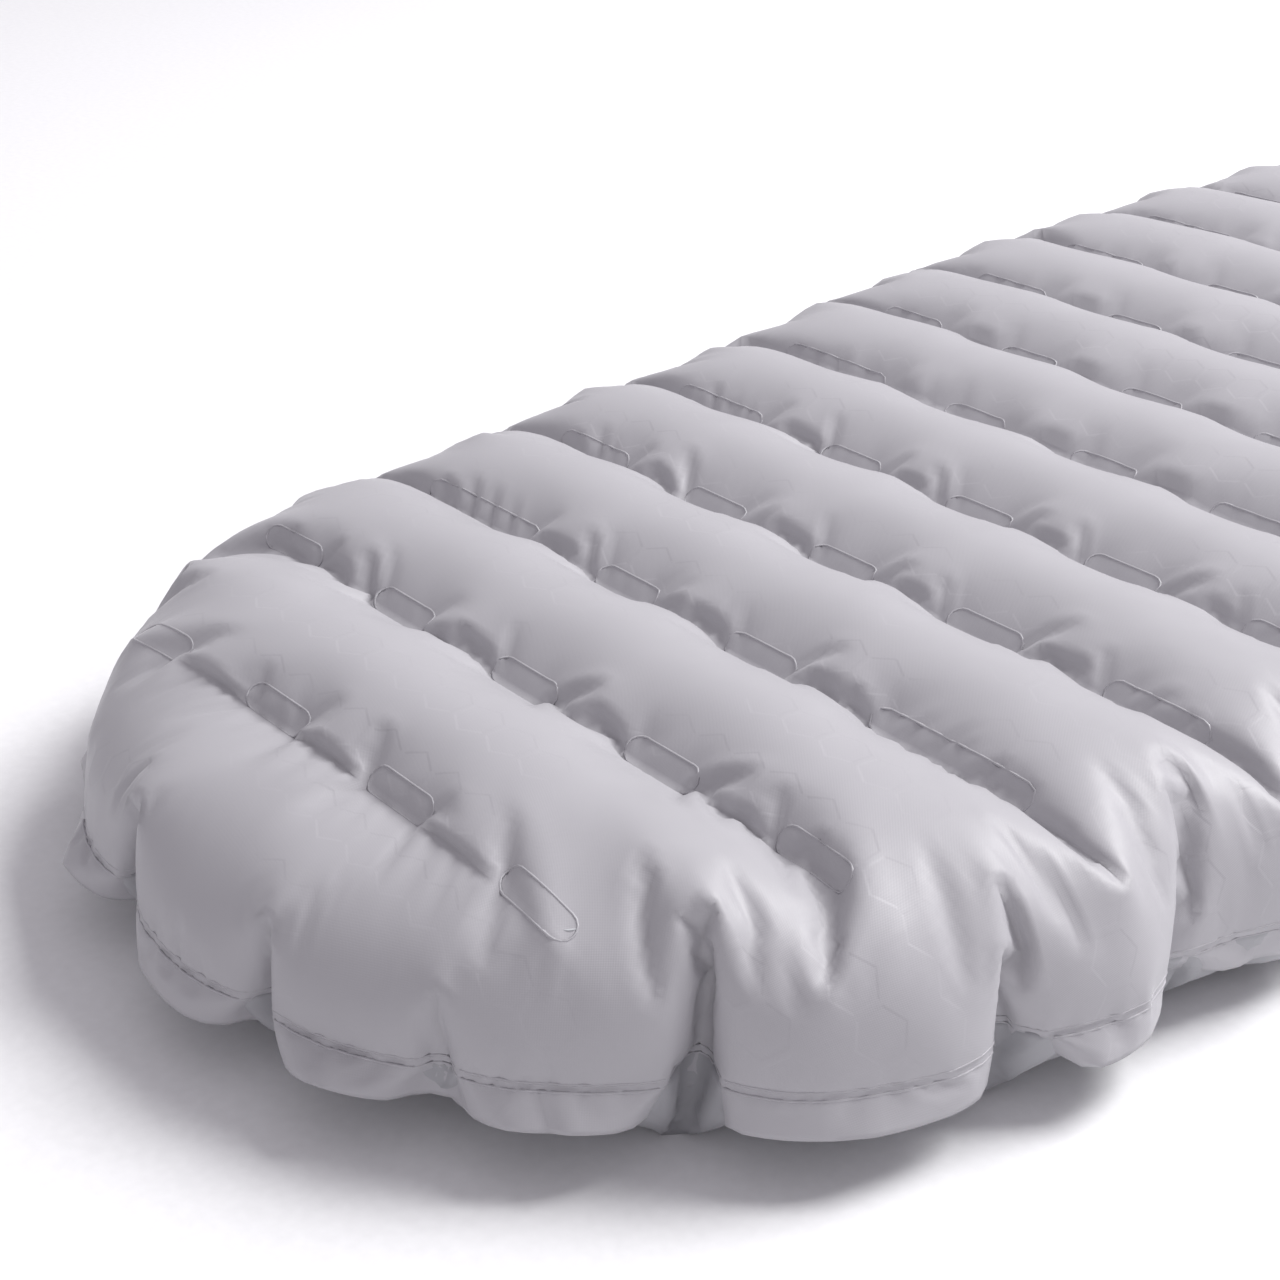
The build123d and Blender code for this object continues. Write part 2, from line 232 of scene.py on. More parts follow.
# Rim folds at the two ends, in tube spacings: across from the middle, and from the end's valley.
FOOT_PINCHES = [(-2.15, 1.25), (-0.38, 0.2), (1.35, 0.45), (2.1, 1.25)]
HEAD_PINCHES = [(0.6, 0.8), (1.8, 0.6), (2.8, 0), (3.4, -1.2)]


def half_width(y):
    """Half-width of the blown-up pad's straight and tapered part."""
    foot_y = FOOT_DEPTH - HALF_LENGTH
    rise = min(max((y - foot_y) / (SHOULDER_Y - foot_y), 0), 1)
    return FOOT + (SHOULDER - FOOT) * rise * rise * (3 - 2 * rise)


def blown_guess(flat, distance, inward):
    """Roughly where each corner ends up: tubes as arcs, and a round bulge along the sides."""
    bulge_radius = (EDGE_DEPTH**2 + (TIE / 2) ** 2) / (2 * EDGE_DEPTH)
    start = math.pi - math.asin(TIE / 2 / bulge_radius)
    hub = EDGE_DEPTH - bulge_radius
    weld_turn = start - TOP_MARGIN / bulge_radius
    deep = np.clip(TOP_MARGIN - distance, 0, None)
    foot_point = flat + inward * deep[:, None]
    phase = (foot_point[:, 1] - VALLEYS[0] * STRETCH) / CUT_PITCH
    inside = (phase > 0) & (phase < len(VALLEYS) - 1)
    lean = (phase - np.floor(phase) - 0.5) * 2 * TUBE_LEAN
    arc_y = (np.floor(phase) + 0.5) * PITCH + VALLEYS[0] + TUBE_RADIUS * np.sin(lean)
    crown = np.where(inside, TUBE_RADIUS * (np.cos(lean) - math.cos(TUBE_LEAN)), 0)
    plan = np.stack([foot_point[:, 0], np.where(inside, arc_y, foot_point[:, 1] / STRETCH)], 1)
    shapes = []
    for side, margin in ((1, TOP_MARGIN), (-1, LOW_MARGIN)):
        run = np.clip(deep * margin / TOP_MARGIN, 0, margin)
        turn = side * (start - run / bulge_radius)
        out = np.where(deep > 0, hub + bulge_radius * np.cos(turn), 0)
        up = np.where(deep > 0, bulge_radius * np.sin(turn), side * TIE / 2)
        beyond = np.clip(-distance, 0, None)
        out += beyond * math.cos(weld_turn)
        up += beyond * math.sin(weld_turn)
        fade = np.clip(1 - deep / TOP_MARGIN * BULGE_FADE, 0, 1)
        up += side * crown * fade
        place = plan - inward * out[:, None]
        shapes.append(np.concatenate([place, (MID_HEIGHT + up)[:, None]], 1))
    return shapes


def pinch_seeds():
    """Where the rim starts to fold in: at the middle of each tube's ends, and round both rounded ends."""
    seeds = [(x * PITCH, VALLEYS[0] + (y - 1) * PITCH) for x, y in FOOT_PINCHES]
    for index in range(2, len(VALLEYS) - 2):
        middle = VALLEYS[index] - PITCH / 2
        seeds += [(side * half_width(middle), middle) for side in (-1, 1)]
    seeds += [(side * x * PITCH, VALLEYS[-1] + y * PITCH) for side in (-1, 1) for x, y in HEAD_PINCHES]
    return np.array(seeds)


def seed_folds(shape, distance, inward, rng):
    """Pushes the rim in at each seed, so that it folds there rather than at the mesh's whim."""
    strength = np.zeros(len(shape))
    for seed in pinch_seeds():
        rim = shape[np.abs(distance) < 1]
        near = rim[((rim[:, :2] - seed) ** 2).sum(1).argmin(), :2]
        gap = np.linalg.norm(shape[:, :2] - near, axis=1)
        strength = np.maximum(strength, np.exp(-((gap / PINCH_WIDTH) ** 2)))
    height = np.clip(1 - np.clip(distance, 0, None) / (TOP_MARGIN * PINCH_RISE), 0, 1)
    push = (strength * PINCH_DEPTH - PINCH_DEPTH / 3) * height
    shape[:, :2] += inward * push[:, None]
    shape += rng.normal(0, JITTER, shape.shape)
    return shape


# ---------------------------------------------------------------- the simulation
GATHER = 0.045  # spare fabric along each row of tabs, which puckers
GATHER_WIDTH = 14.0
GRAVITY = 0.004
FLATNESS = 0.1  # how firmly the pad's weight holds its valleys level
RIM_HOLD = 0.1  # how firmly the rim keeps each tube's share of fabric
SLACK = 0.8  # how firmly the fabric resists being squeezed along its own surface
FLEX = 0.2  # how firmly a fold resists opening, as a share of how it resists closing
DAMPING = 0.9  # speed kept from step to step
SWEEPS = 3  # rounds of corrections in each step
ON_LINE = 0.5  # corners this close to a valley are on it
TAB_EDGE = 0.02  # a baffle's corners this close to its tabs' outer side are their straight edges
HELD_SHARE = 0.1  # rim corners this close to a valley, in tube spacings, stay beside it


def coloured(pairs, lengths, count):
    """Splits pairs into groups in which no corner comes twice, so that each is moved in one go."""
    used = [0] * count
    colour = np.empty(len(pairs), int)
    for index, (a, b) in enumerate(pairs.tolist()):
        taken = used[a] | used[b]
        bit = ~taken & (taken + 1)
        used[a] |= bit
        used[b] |= bit
        colour[index] = bit.bit_length()
    groups = [np.flatnonzero(colour == c) for c in range(1, colour.max() + 1)]
    lengths = lengths.astype(np.float32)
    return [(pairs[g, 0].copy(), pairs[g, 1].copy(), lengths[g]) for g in groups]


def far_corners(faces):
    """For each inner edge, the two corners that face it across their triangles."""
    pairs = np.concatenate([faces[:, [0, 1]], faces[:, [1, 2]], faces[:, [2, 0]]])
    across = np.concatenate([faces[:, 2], faces[:, 0], faces[:, 1]])
    pairs = np.sort(pairs, axis=1)
    order = np.lexsort((pairs[:, 1], pairs[:, 0]))
    pairs, across = pairs[order], across[order]
    same = (pairs[1:] == pairs[:-1]).all(1)
    return np.stack([across[:-1][same], across[1:][same]], 1)


def tab_spans():
    """(valley along the cut, start, end) of every weld tab, in flat millimetres."""
    spans = []
    for name, valley in zip(BAFFLES, VALLEYS):
        co = np.array([v.co for v in frame["nodes"][name].data.vertices]) / MM
        edge = co[co[:, 2] > VALLEY_TOP - WALL - 0.1]
        spans += [(valley * STRETCH, a, b) for a, b in pair_ends(edge)]
    return spans


def pair_ends(edge):
    """Start and end of each tab along a baffle's top edge, from the tabs' own outlines."""
    left = edge[:, 1] > edge[:, 1].max() - TAB_EDGE
    marks = np.unique(np.round(edge[left, 0], 1))
    half_width = (edge[:, 1].max() - edge[:, 1].min()) / 2
    starts, ends = marks[0::2], marks[1::2]
    return [(a - half_width, b + half_width) for a, b in zip(starts, ends)]


class Sheets:
    """Top and bottom sheets on one set of corners: the weld and the flange are shared."""

    def __init__(self, flat, faces, kind, spans):
        self.count = len(flat)
        self.kind = kind
        inner = kind == 0
        self.low_id = np.arange(self.count)
        self.low_id[inner] = self.count + np.arange(inner.sum())
        self.total = self.count + inner.sum()
        body = faces[(kind[faces] <= 1).all(1)]
        self.body_faces = np.concatenate([body, self.low_id[body][:, ::-1]])
        weld = cut_outline(FLANGE, DISTANCE_SAMPLES)
        self.distance, self.inward = inside_distance(flat, weld)

        top_pairs = edges_of(faces)
        low_pairs = edges_of(body)
        low_new = (kind[low_pairs] == 0).any(1)
        low_pairs = low_pairs[low_new]
        rest = [self.rest(flat, top_pairs, 1), self.rest(flat, low_pairs, LOW_MARGIN / TOP_MARGIN)]
        pairs = np.concatenate([top_pairs, self.low_id[low_pairs]])
        self.edges = coloured(pairs, np.concatenate(rest), self.total)

        far = far_corners(faces)
        far_low = far_corners(body)
        far_low = far_low[(kind[far_low] == 0).any(1)]
        rest = [self.rest(flat, far, 1), self.rest(flat, far_low, LOW_MARGIN / TOP_MARGIN)]
        pairs = np.concatenate([far, self.low_id[far_low]])
        self.folds = coloured(pairs, np.concatenate(rest), self.total)

        reach = np.full(self.count, np.inf)
        for valley, half in zip(VALLEYS, REACHES):
            on_line = np.abs(flat[:, 1] - valley * STRETCH) < ON_LINE
            reach[on_line & (np.abs(flat[:, 0]) < half)] = TIE + WEB_SLACK
        for valley, start, end in spans:
            on_line = np.abs(flat[:, 1] - valley) < ON_LINE
            reach[on_line & (flat[:, 0] > start + 1) & (flat[:, 0] < end - 1)] = TIE
        self.tied = np.flatnonzero(np.isfinite(reach) & inner)
        self.tied_low = self.low_id[self.tied]
        self.tie_length = reach[self.tied].astype(np.float32)
        home = np.column_stack([flat[self.tied] / (1, STRETCH), np.full(len(self.tied), MID_HEIGHT)])
        self.tie_home = home.astype(np.float32)

        sides = (kind == 1) & (np.abs(flat[:, 1]) < VALLEYS[-3] * STRETCH)
        valley = np.round((flat[:, 1] - VALLEYS[0] * STRETCH) / CUT_PITCH)
        beside = np.abs(VALLEYS[0] * STRETCH + valley * CUT_PITCH - flat[:, 1])
        self.held = np.flatnonzero(sides & (beside < CUT_PITCH * HELD_SHARE))
        self.held_home = (flat[self.held, 1] / STRETCH).astype(np.float32)

    def rest(self, flat, pairs, shrink):
        """Cut length of each pair. The underside's margin is narrower, square to the rim only."""
        side = flat[pairs[:, 1]] - flat[pairs[:, 0]]
        off_valley = (flat[pairs, 1].mean(1) - VALLEYS[0] * STRETCH) / CUT_PITCH
        off_valley = np.abs(off_valley - np.round(off_valley)) * CUT_PITCH
        side[:, 0] *= 1 + GATHER * np.exp(-((off_valley / GATHER_WIDTH) ** 2))
        inward = self.inward[pairs].mean(1)
        near = self.distance[pairs].mean(1)
        square = (side * inward).sum(1)
        share = np.where((near > 0) & (near < TOP_MARGIN), 1 - shrink**2, 0)
        return np.sqrt((side**2).sum(1) - share * square**2)

    def join(self, top, low):
        """One position array from the two sheets'."""
        return np.concatenate([top, low[self.kind == 0]]).astype(np.float32)

    def part(self, place):
        """The two sheets' positions from the one array."""
        return place[: self.count], place[self.low_id]

    def pull(self, place, groups, stiff, slack):
        """Moves each pair towards its length. slack is the stiffness kept when it is too short."""
        stiff, slack = np.float32(stiff / 2), np.float32(slack / 2)
        for a, b, length in groups:
            start, end = place[a], place[b]
            side = end - start
            now = np.sqrt(np.einsum("ij,ij->i", side, side))
            error = 1 - length / now
            error *= np.where(error > 0, stiff, slack)
            side *= error[:, None]
            place[a] = start + side
            place[b] = end - side

    def tie(self, place):
        """Holds the two ends of each baffle tab no further apart than the baffle's height."""
        side = place[self.tied] - place[self.tied_low]
        now = np.linalg.norm(side, axis=1)
        side *= (np.clip(now - self.tie_length, 0, None) / now * 0.5)[:, None]
        place[self.tied] -= side
        place[self.tied_low] += side

    def push(self, faces, place):
        """Area-weighted outward direction at each corner, for the pressure."""
        corner = place[faces]
        normal = np.cross(corner[:, 1] - corner[:, 0], corner[:, 2] - corner[:, 0])
        force = np.empty((self.total, 3), np.float32)
        for axis in range(3):
            weight = np.repeat(normal[:, axis], 3)
            force[:, axis] = np.bincount(faces.ravel(), weight, self.total)
        return force

    def blow(self, place, steps, pressure, bend):
        """Runs the simulation: pressure, cloth lengths, bending, ties and the ground."""
        speed = np.zeros_like(place)
        for _ in range(steps):
            before = place.copy()
            force = self.push(self.body_faces, place)
            place += DAMPING * speed + pressure * force
            place[:, 2] -= GRAVITY
            for _ in range(SWEEPS):
                self.pull(place, self.edges, 1.0, SLACK)
                self.tie(place)
            self.pull(place, self.folds, bend * FLEX, bend)
            drift = (self.tie_home - (place[self.tied] + place[self.tied_low]) / 2) * FLATNESS
            place[self.tied] += drift
            place[self.tied_low] += drift
            place[self.held, 1] += (self.held_home - place[self.held, 1]) * RIM_HOLD
            np.maximum(place[:, 2], 0, out=place[:, 2])
            speed = place - before
        return place


def everywhere(points):
    """Picks every edge for splitting."""
    return np.ones(len(points), bool)


def near_foot(points):
    """Picks the edges of the foot-end tubes and round the valve, which get the finest mesh."""
    valve = np.linalg.norm(points - VALVE * (1, STRETCH), axis=1)
    return (points[:, 1] < FINEST * STRETCH) | (valve < VALVE_REACH)


STAGES = (  # edges to split first, steps, pressure, bending stiffness
    (None, 160, 0.00025, 0.15),
    (None, 80, 0.00012, 0.12),
    (everywhere, 60, 0.0002, 0.08),
    (None, 30, 0.00012, 0.05),
    (near_foot, 40, 0.00012, 0.01),
)


def simulate():
    """Blows the pad up, coarse then fine. Returns the fine mesh's corners, faces and both shapes."""
    rng = np.random.default_rng(SEED)
    spans = tab_spans()
    flat, faces, kind = flat_mesh()
    sheets = Sheets(flat, faces, kind, spans)
    top, low = blown_guess(flat, sheets.distance, sheets.inward)
    top = seed_folds(top, sheets.distance, sheets.inward, rng)
    low = seed_folds(low, sheets.distance, sheets.inward, rng)
    place = sheets.join(top, low)
    for chosen, steps, pressure, bend in STAGES:
        if chosen:
            top, low = sheets.part(place)
            flat, faces, kind, (top, low) = refine(flat, faces, kind, (top, low), chosen)
            sheets = Sheets(flat, faces, kind, spans)
            place = sheets.join(top, low)
        place = sheets.blow(place, steps, pressure, bend)
    return flat, faces, kind, *sheets.part(place)


flat, faces, kind, top, low = simulate()

# ---------------------------------------------------------------- the valve's seat
SEAT_HEIGHT = 79.0
SEAT_RADIUS = 22.0
SEAT_BLEND = 14.0  # the fabric rises back to the tube's crown over this width
COLLAR_MIDDLE = 14.2  # the fabric ends inside the collar's wall
COLLAR_OUTSIDE = 15.4
BORE = 12.5
CUP_HEIGHT = 70.0  # inside the bore the fabric is out of the way, below the flap


def seat_valve(place):
    """Flattens the top sheet round the valve, and takes it down out of the valve's bore."""
    offset = place[:, :2] - VALVE
    away = np.linalg.norm(offset, axis=1)
    rise = np.clip((away - SEAT_RADIUS) / SEAT_BLEND, 0, 1)
    rise = rise * rise * (3 - 2 * rise)
    place[:, 2] = SEAT_HEIGHT + (place[:, 2] - SEAT_HEIGHT) * rise
    wall = (away > BORE) & (away < COLLAR_OUTSIDE)
    place[wall, :2] = VALVE + offset[wall] * (COLLAR_MIDDLE / away[wall])[:, None]
    place[away <= BORE, 2] = CUP_HEIGHT


seat_valve(top)

# ---------------------------------------------------------------- the envelope
SHEET_THICKNESS = 0.8  # of the two layers welded together in the flange


def corner_normals(place, faces):
    """Unit outward direction at each corner."""
    corner = place[faces]
    face_normal = np.cross(corner[:, 1] - corner[:, 0], corner[:, 2] - corner[:, 0])
    normal = np.empty(place.shape)
    for axis in range(3):
        weight = np.repeat(face_normal[:, axis], 3)
        normal[:, axis] = np.bincount(faces.ravel(), weight, len(place))
    return normal / np.maximum(np.linalg.norm(normal, axis=1), 1e-9)[:, None]


def envelope_mesh():
    """Closed mesh of the envelope: the top sheet, the underside, and the flange's thin edge."""
    count = len(flat)
    under = low.copy()
    seam = kind > 0
    under[seam] -= corner_normals(top, faces)[seam] * SHEET_THICKNESS
    points = np.concatenate([top, under]) * MM
    skins = np.concatenate([faces, faces[:, ::-1] + count])
    pairs = np.concatenate([faces[:, [0, 1]], faces[:, [1, 2]], faces[:, [2, 0]]])
    keys = np.sort(pairs, axis=1)
    _, index, times = np.unique(keys, axis=0, return_index=True, return_counts=True)
    edge = pairs[index[times == 1]]
    strip = np.stack([edge[:, 1], edge[:, 0], edge[:, 0] + count, edge[:, 1] + count], 1)
    mesh = bpy.data.meshes.new("pad_envelope")
    mesh.from_pydata(points.tolist(), [], skins.tolist() + strip.tolist())
    mesh.update()
    layer = mesh.uv_layers.new(name="cut")
    loops = np.empty(len(mesh.loops), int)
    mesh.loops.foreach_get("vertex_index", loops)
    cut = np.concatenate([flat, flat]) * MM
    layer.data.foreach_set("uv", cut[loops].ravel())
    sides = np.zeros(len(mesh.polygons), int)
    sides[len(faces) : 2 * len(faces)] = 1
    mesh.polygons.foreach_set("material_index", sides)
    mesh.polygons.foreach_set("use_smooth", np.ones(len(mesh.polygons), bool))
    return mesh


def new_object(name, mesh):
    """Links a mesh into the scene as an object."""
    obj = bpy.data.objects.new(name, mesh)
    bpy.context.scene.collection.objects.link(obj)
    return obj


# ---------------------------------------------------------------- raised weld outlines
TAB_WIDTH = 9.0
TAB_SAMPLES = 40
BEAD_WIDTH = 1.1
BEAD_HEIGHT = 0.32
BEAD_ROOT = 0.15  # how far the bead's edges are sunk into the fabric
RIM_SAMPLES = 2400
RIM_LINE_GAP = 1.2  # the rim's two weld lines lie this far to either side of the weld
flat_tree = BVHTree.FromPolygons([(x, y, 0) for x, y in flat.tolist()], faces.tolist())


def stadium(start, end, middle):
    """Loop of flat points round a weld tab."""
    radius = TAB_WIDTH / 2
    straight = end - start - TAB_WIDTH
    around = straight * 2 + math.pi * TAB_WIDTH
    loop = []
    for step in range(TAB_SAMPLES):
        run = around * step / TAB_SAMPLES
        half, run = divmod(run, around / 2)
        turn = math.pi * half
        if run < straight:
            x, y = run - straight / 2, -radius
        else:
            angle = (run - straight) / radius - math.pi / 2
            x, y = straight / 2 + radius * math.cos(angle), radius * math.sin(angle)
        sign = math.cos(turn)
        loop.append(((start + end) / 2 + sign * x, middle + sign * y))
    return np.array(loop)


def on_sheet(loop, place, normal):
    """Where flat points of a loop lie on a blown-up sheet, and the sheet's direction there."""
    hits = [flat_tree.ray_cast((x, y, 1), (0, 0, -1))[2] for x, y in loop]
    corners = faces[hits]
    a, b, c = flat[corners[:, 0]], flat[corners[:, 1]], flat[corners[:, 2]]
    ab, ac, ap = b - a, c - a, loop - a
    area = ab[:, 0] * ac[:, 1] - ab[:, 1] * ac[:, 0]
    second = (ap[:, 0] * ac[:, 1] - ap[:, 1] * ac[:, 0]) / area
    third = (ab[:, 0] * ap[:, 1] - ab[:, 1] * ap[:, 0]) / area
    weights = np.stack([1 - second - third, second, third], 1)[..., None]
    return (place[corners] * weights).sum(1), (normal[corners] * weights).sum(1)


def bead(points, normal, width, height):
    """Corners and faces of a raised line along a closed loop, three-sided in section."""
    along = np.roll(points, -1, axis=0) - np.roll(points, 1, axis=0)
    across = np.cross(normal, along)
    across *= width / 2 / np.linalg.norm(across, axis=1)[:, None]
    root = points - normal * BEAD_ROOT
    corners = np.stack([root - across, points + normal * height, root + across], 1).reshape(-1, 3)
    here = np.arange(len(points)) * 3
    after = np.roll(here, -1)
    quads = [
        np.stack([here + i, after + i, after + (i + 1) % 3, here + (i + 1) % 3], 1) for i in range(3)
    ]
    return corners, np.concatenate(quads)


def weld_lines():
    """Mesh of the raised outlines: every tab on both sheets, and the rim's weld on the top one."""
    sheets_by_side = {1: (top, corner_normals(top, faces)), -1: (low, -corner_normals(low, faces))}
    loops = []
    for valley, start, end in tab_spans():
        for side in (1, -1):
            loops.append((stadium(start, end, valley + side * TAB_WIDTH / 2), side))
    for offset in (FLANGE - RIM_LINE_GAP, FLANGE + RIM_LINE_GAP):
        loops.append((cut_outline(offset, RIM_SAMPLES), 1))
    corners, quads, count = [], [], 0
    for loop, side in loops:
        place, normal = on_sheet(loop, *sheets_by_side[side])
        more, sides = bead(place, normal, BEAD_WIDTH, BEAD_HEIGHT)
        corners.append(more)
        quads.append(sides + count)
        count += len(more)
    mesh = bpy.data.meshes.new("weld_lines")
    mesh.from_pydata((np.concatenate(corners) * MM).tolist(), [], np.concatenate(quads).tolist())
    mesh.polygons.foreach_set("use_smooth", np.ones(len(mesh.polygons), bool))
    return mesh


# ---------------------------------------------------------------- materials
class Look:
    """A material under construction, with short-hand for its nodes."""

    def __init__(self, name, colour, roughness, **uniform):
        self.material = bpy.data.materials.new(name)
        self.material.use_nodes = True
        self.tree = self.material.node_tree
        self.shader = self.tree.nodes["Principled BSDF"]
        self.colour = colour
        self.roughness = roughness
        for socket, value in uniform.items():
            self.shader.inputs[socket.replace("_", " ")].default_value = value

    def add(self, kind, inputs=(), output=0, **settings):
        """Adds a node. inputs gives its sockets' values by name or number, or what is linked to them."""
        made = self.tree.nodes.new(kind)
        for name, value in settings.items():
            setattr(made, name, value)
        for name, value in dict(inputs).items():
            if isinstance(value, bpy.types.NodeSocket):
                self.tree.links.new(value, made.inputs[name])
            else:
                made.inputs[name].default_value = value
        return made.outputs[output]

    def math(self, operation, *values):
        """A Math node."""
        return self.add("ShaderNodeMath", enumerate(values), operation=operation)

    def vector(self, operation, *values, output=0):
        """A Vector Math node."""
        return self.add("ShaderNodeVectorMath", enumerate(values), output, operation=operation)

    def noise(self, place, scale, detail=3.0):
        """Noise from 0 to 1."""
        return self.add("ShaderNodeTexNoise", {"Vector": place, "Scale": scale, "Detail": detail})

    def ramp(self, value, low, high, bottom=0.0, top=1.0):
        """Value eased from bottom at low to top at high."""
        inputs = {0: value, 1: low, 2: high, 3: bottom, 4: top}
        return self.add("ShaderNodeMapRange", inputs, interpolation_type="SMOOTHSTEP")

    def shade(self, mottle, strength):
        """Colour: the base colour, a little darker and lighter with mottle."""
        dark = [c * (1 - strength) for c in self.colour]
        light = [min(1, c * (1 + strength)) for c in self.colour]
        inputs = {0: mottle, 6: (*dark, 1), 7: (*light, 1)}
        colour = self.add("ShaderNodeMix", inputs, 2, data_type="RGBA")
        self.tree.links.new(colour, self.shader.inputs["Base Color"])

    def gloss(self, mottle, spread):
        """Roughness: spread to either side of the base roughness with mottle."""
        value = self.ramp(mottle, 0.3, 0.7, self.roughness - spread, self.roughness + spread)
        self.tree.links.new(value, self.shader.inputs["Roughness"])

    def relief(self, height):
        """Bump from a height in millimetres."""
        inputs = {"Height": height, "Distance": MM, "Strength": 1.0}
        self.tree.links.new(self.add("ShaderNodeBump", inputs), self.shader.inputs["Normal"])
        return self.material


# Sizes are in metres, reliefs in millimetres, and noise scales in waves per metre.
HEX_SIZE = 0.0155
HEX_LINE = 0.1
HEX_RELIEF = 0.07
THREAD = 0.0006
THREAD_RELIEF = 0.012
PUCKER_RELIEF = 0.35
PUCKER_SCALES = (110, 22, 1)
BROAD_SCALE, FINE_SCALE, PATCH_SCALE = 9.0, 60.0, 14.0
FILM_SCALE, FILM_GRAIN_SCALE, FILM_GRAIN = 240.0, 900.0, 0.02
MOULD_SCALE, MOULD_GRAIN_SCALE = 130.0, 2600.0
WIRE_SCALES = (200, 6000, 6000)
WIRE_RELIEF = 0.01
OBJECT_COORDINATES = 3


def honeycomb(look, cut):
    """Raised lines of a honeycomb over the flat cut, 1 on the lines."""
    half = (0.5, math.sqrt(3) / 2, 1)
    back = tuple(-h for h in half)
    place = look.vector("SCALE", cut)
    place.node.inputs["Scale"].default_value = 1 / HEX_SIZE
    first = look.vector("WRAP", place, half, back)
    shifted = look.vector("SUBTRACT", place, half)
    second = look.vector("WRAP", shifted, half, back)
    nearer = look.math(
        "LESS_THAN", look.vector("LENGTH", first, output=1), look.vector("LENGTH", second, output=1)
    )
    choice = look.add(
        "ShaderNodeMix", {0: nearer, 4: second, 5: first}, 1, data_type="VECTOR", clamp_factor=True
    )
    cell = look.vector("ABSOLUTE", choice)
    slant = look.vector("DOT_PRODUCT", cell, (0.5, math.sqrt(3) / 2, 0), output=1)
    straight = look.vector("DOT_PRODUCT", cell, (1, 0, 0), output=1)
    edge = look.math("MAXIMUM", slant, straight)
    return look.ramp(edge, 0.5 - HEX_LINE, 0.5 - HEX_LINE / 3)


def fabric(name, colour, roughness):
    """Satin laminated fabric: fine threads, a faint embossed honeycomb, and puckers along the welds."""
    look = Look(name, colour, roughness, Specular_IOR_Level=0.38, Sheen_Weight=0.12, Sheen_Roughness=0.4)
    cut = look.add("ShaderNodeUVMap", uv_map="cut")
    broad = look.noise(cut, BROAD_SCALE)
    fine = look.noise(cut, FINE_SCALE, 5.0)
    look.shade(look.math("ADD", look.math("MULTIPLY", broad, 0.7), look.math("MULTIPLY", fine, 0.3)), 0.05)
    look.gloss(fine, 0.05)

    across = look.add("ShaderNodeSeparateXYZ", {0: cut})
    along = across.node.outputs[1]
    turns = math.tau / THREAD
    weave = look.math(
        "MULTIPLY",
        look.math("SINE", look.math("MULTIPLY", across, turns)),
        look.math("SINE", look.math("MULTIPLY", along, turns)),
    )
    phase = look.math("SUBTRACT", along, VALLEYS[0] * STRETCH * MM)
    off_valley = look.math("PINGPONG", look.math("DIVIDE", phase, CUT_PITCH * MM), 0.5)
    by_welds = look.ramp(off_valley, 0.05, 0.33, 1.0, 0.0)
    stretched = look.vector("MULTIPLY", cut, PUCKER_SCALES)
    pucker = look.math("MULTIPLY", look.noise(stretched, 1.0, 2.0), by_welds)
    patches = look.ramp(look.noise(cut, PATCH_SCALE, 2.0), 0.42, 0.62)
    emboss = look.math("MULTIPLY", honeycomb(look, cut), look.math("MULTIPLY", patches, HEX_RELIEF))
    height = look.math("ADD", look.math("MULTIPLY", weave, THREAD_RELIEF), emboss)
    return look.relief(look.math("ADD", height, look.math("MULTIPLY", pucker, PUCKER_RELIEF)))


def weld_film(name, colour, roughness):
    """Smooth heat-pressed film, slightly glossier than the fabric."""
    look = Look(name, colour, roughness)
    place = look.add("ShaderNodeTexCoord", output=OBJECT_COORDINATES)
    mottle = look.noise(place, FILM_SCALE)
    look.shade(mottle, 0.05)
    look.gloss(mottle, 0.06)
    return look.relief(look.math("MULTIPLY", look.noise(place, FILM_GRAIN_SCALE), FILM_GRAIN))


def moulded(name, colour, roughness, grain, **uniform):
    """Moulded plastic or rubber with a fine spark-eroded grain."""
    look = Look(name, colour, roughness, **uniform)
    place = look.add("ShaderNodeTexCoord", output=OBJECT_COORDINATES)
    mottle = look.noise(place, MOULD_SCALE)
    look.shade(mottle, 0.08)
    look.gloss(mottle, 0.07)
    return look.relief(look.math("MULTIPLY", look.noise(place, MOULD_GRAIN_SCALE, 2.0), grain))


def drawn_wire(name, colour, roughness):
    """Steel wire with fine marks along its length."""
    look = Look(name, colour, roughness, Metallic=1.0)
    place = look.add("ShaderNodeTexCoord", output=OBJECT_COORDINATES)
    marks = look.noise(look.vector("MULTIPLY", place, WIRE_SCALES), 1.0, 2.0)
    look.shade(marks, 0.1)
    look.gloss(marks, 0.08)
    return look.relief(look.math("MULTIPLY", marks, WIRE_RELIEF))


FABRIC_TOP = (0.435, 0.427, 0.45)
# The underside's colour is the top fabric's colour darkened: painted shade for the underside, which lies
# in shadow beneath the pad.
FABRIC_LOW_PAINTED_SHADE = (0.36, 0.36, 0.38)
looks = {
    "fabric_top": fabric("pad_fabric", FABRIC_TOP, 0.46),
    # The underside's material is the top fabric with that darker colour, so shade is painted on it.
    "fabric_bottom": fabric("pad_underside_painted_shade", FABRIC_LOW_PAINTED_SHADE, 0.5),
    "baffle_film": weld_film("baffle_film", (0.5, 0.51, 0.53), 0.35),
    "valve_plastic": moulded("valve_plastic", (0.10, 0.105, 0.115), 0.42, 0.03),
    "seal_rubber": moulded("seal_rubber", (0.38, 0.39, 0.41), 0.36, 0.01, Transmission_Weight=0.2),
    "pin_steel": drawn_wire("pin_steel", (0.62, 0.62, 0.63), 0.3),
}
for part in frame["record"]["subparts"]:
    for slot in frame["nodes"][part["node"]].material_slots:
        slot.material = looks[part["material_slot"]]

pad = new_object("pad_envelope", envelope_mesh())
pad.data.materials.append(looks["fabric_top"])
pad.data.materials.append(looks["fabric_bottom"])
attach(pad, "pad")
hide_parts("top_shell", "bottom_shell")

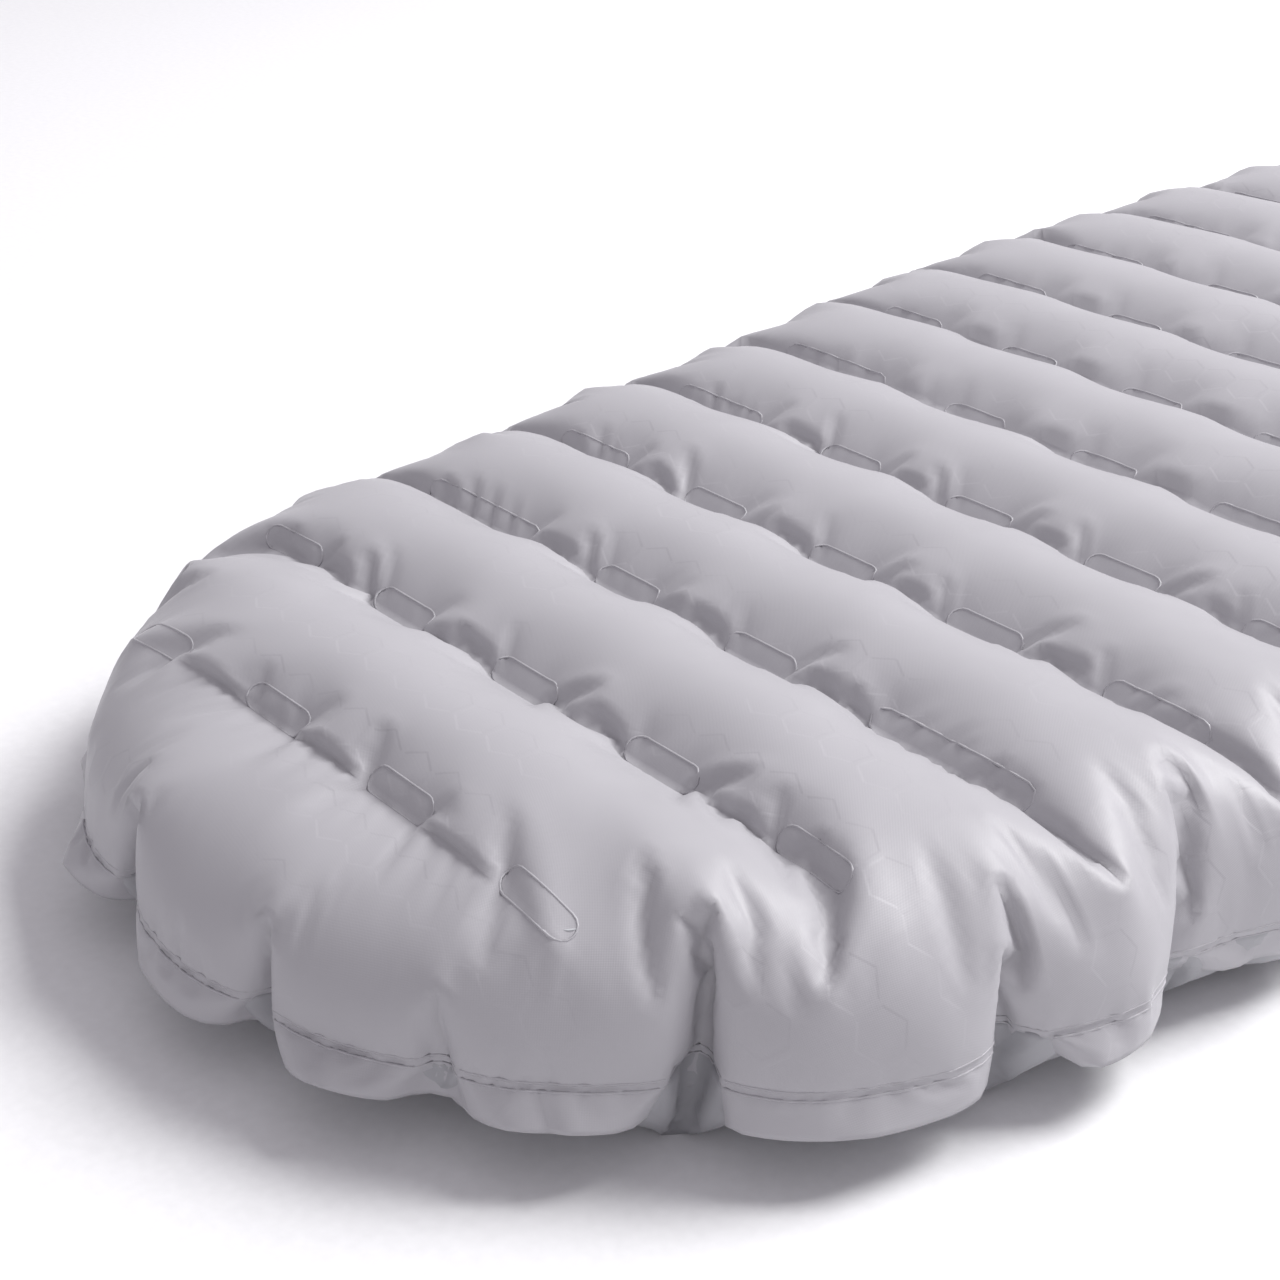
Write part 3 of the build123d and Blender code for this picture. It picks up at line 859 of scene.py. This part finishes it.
welds = new_object("weld_lines", weld_lines())
welds.data.materials.append(weld_film("weld_lines", FABRIC_TOP, 0.4))
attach(welds, "pad")

# ---------------------------------------------------------------- ground, light and camera
GROUND_SIZE = 30.0
PAPER = (0.86, 0.86, 0.87)
KEY_POWER = 126.0
FILL_POWER = 1.5
WORLD_STRENGTH = 0.5
WORLD_COLOUR = (0.97, 0.93, 1.0, 1)
KEY_PLACE, KEY_SIZE = (0.7, 1.3, 2.5), (1.5, 1.5)
FILL_PLACE, FILL_SIZE = (1.6, -2.6, 1.5), (2.0, 1.2)
LIT_SPOT = (0, -0.7, 0)
LENS = 64.7
SENSOR = 36.0
CAMERA_RIGHT = 7.52 * PITCH
CAMERA_BEFORE = 4.43 * PITCH  # in front of the foot end's valley
CAMERA_ABOVE = 4.884 * PITCH  # above the valleys
CAMERA_DIP = 26.49  # degrees below the horizon
CAMERA_TURN = 50.66  # degrees to the left of the pad's length

bpy.ops.mesh.primitive_plane_add(size=GROUND_SIZE)
ground = bpy.context.object
ground.name = "ground"
ground.data.materials.append(weld_film("ground_paper", PAPER, 0.8))


def area_light(name, place, target, size, power):
    """A soft rectangular lamp, aimed at target."""
    lamp = bpy.data.lights.new(name, "AREA")
    lamp.shape = "RECTANGLE"
    lamp.size, lamp.size_y = size
    lamp.energy = power
    obj = bpy.data.objects.new(name, lamp)
    bpy.context.scene.collection.objects.link(obj)
    obj.location = place
    obj.rotation_euler = (Vector(target) - Vector(place)).to_track_quat("-Z", "Y").to_euler()


area_light("key", KEY_PLACE, LIT_SPOT, KEY_SIZE, KEY_POWER)
area_light("fill", FILL_PLACE, LIT_SPOT, FILL_SIZE, FILL_POWER)

world = bpy.data.worlds.new("studio")
bpy.context.scene.world = world
world.use_nodes = True
world.node_tree.nodes["Background"].inputs["Color"].default_value = WORLD_COLOUR
world.node_tree.nodes["Background"].inputs["Strength"].default_value = WORLD_STRENGTH
bpy.context.scene.view_settings.view_transform = "Standard"

camera = bpy.data.cameras.new("camera")
camera.lens = LENS
camera.sensor_width = SENSOR
view = bpy.data.objects.new("camera", camera)
bpy.context.scene.collection.objects.link(view)
view.location = np.array([CAMERA_RIGHT, VALLEYS[0] - CAMERA_BEFORE, VALLEY_TOP + CAMERA_ABOVE]) * MM
view.rotation_euler = (math.radians(90 - CAMERA_DIP), 0, math.radians(CAMERA_TURN))
bpy.context.scene.camera = view
